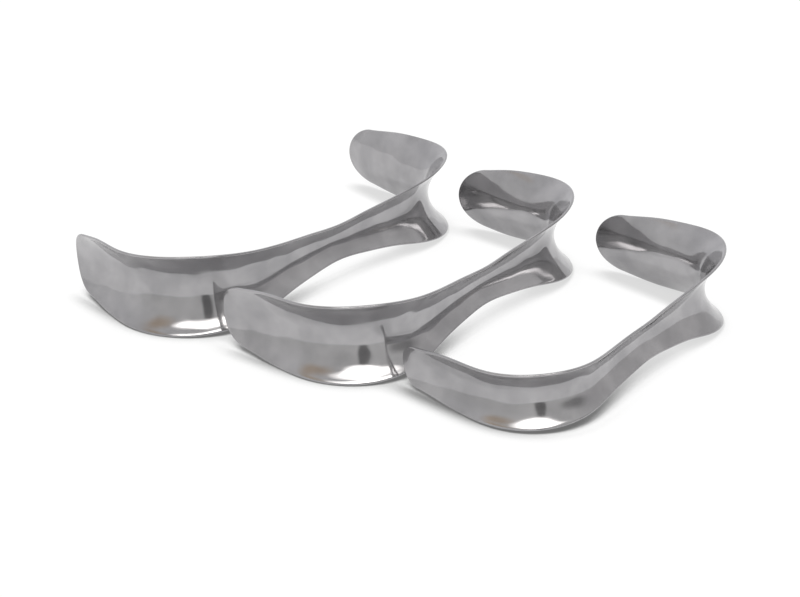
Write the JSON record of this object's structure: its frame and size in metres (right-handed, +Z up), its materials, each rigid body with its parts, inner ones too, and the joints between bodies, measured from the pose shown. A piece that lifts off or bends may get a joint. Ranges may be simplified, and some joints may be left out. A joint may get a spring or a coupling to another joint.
{
  "type": "vaginal speculum",
  "caption": "Graduated row of double-ended Sims-type vaginal specula: each is one bent steel trough with a wide rounded blade at both ends of a narrow waisted handle.",
  "frame": {"origin": "on the floor, under the middle of the row's bounding box", "axes": "+Z up, across the troughs of the specula, which lie on their sides; +X along the row from the large speculum to the small one, away from where the blades point; +Y along the handles, from the front blades to the back ones"},
  "size_m": [0.2416, 0.191, 0.0378],
  "materials": {
    "polished_steel": "polished stainless steel with fine smudgy polishing marks"
  },
  "bodies": {
    "large": {"speculum_large": "polished_steel"},
    "medium": {"speculum_medium": "polished_steel"},
    "small": {"speculum_small": "polished_steel"}
  },
  "joints": [
    {"name": "medium_lift", "type": "slide", "parent": "large", "child": "medium", "axis": [0, 0, 1], "range_m": [0, 0.12]},
    {"name": "small_lift", "type": "slide", "parent": "large", "child": "small", "axis": [0, 0, 1], "range_m": [0, 0.12]}
  ]
}
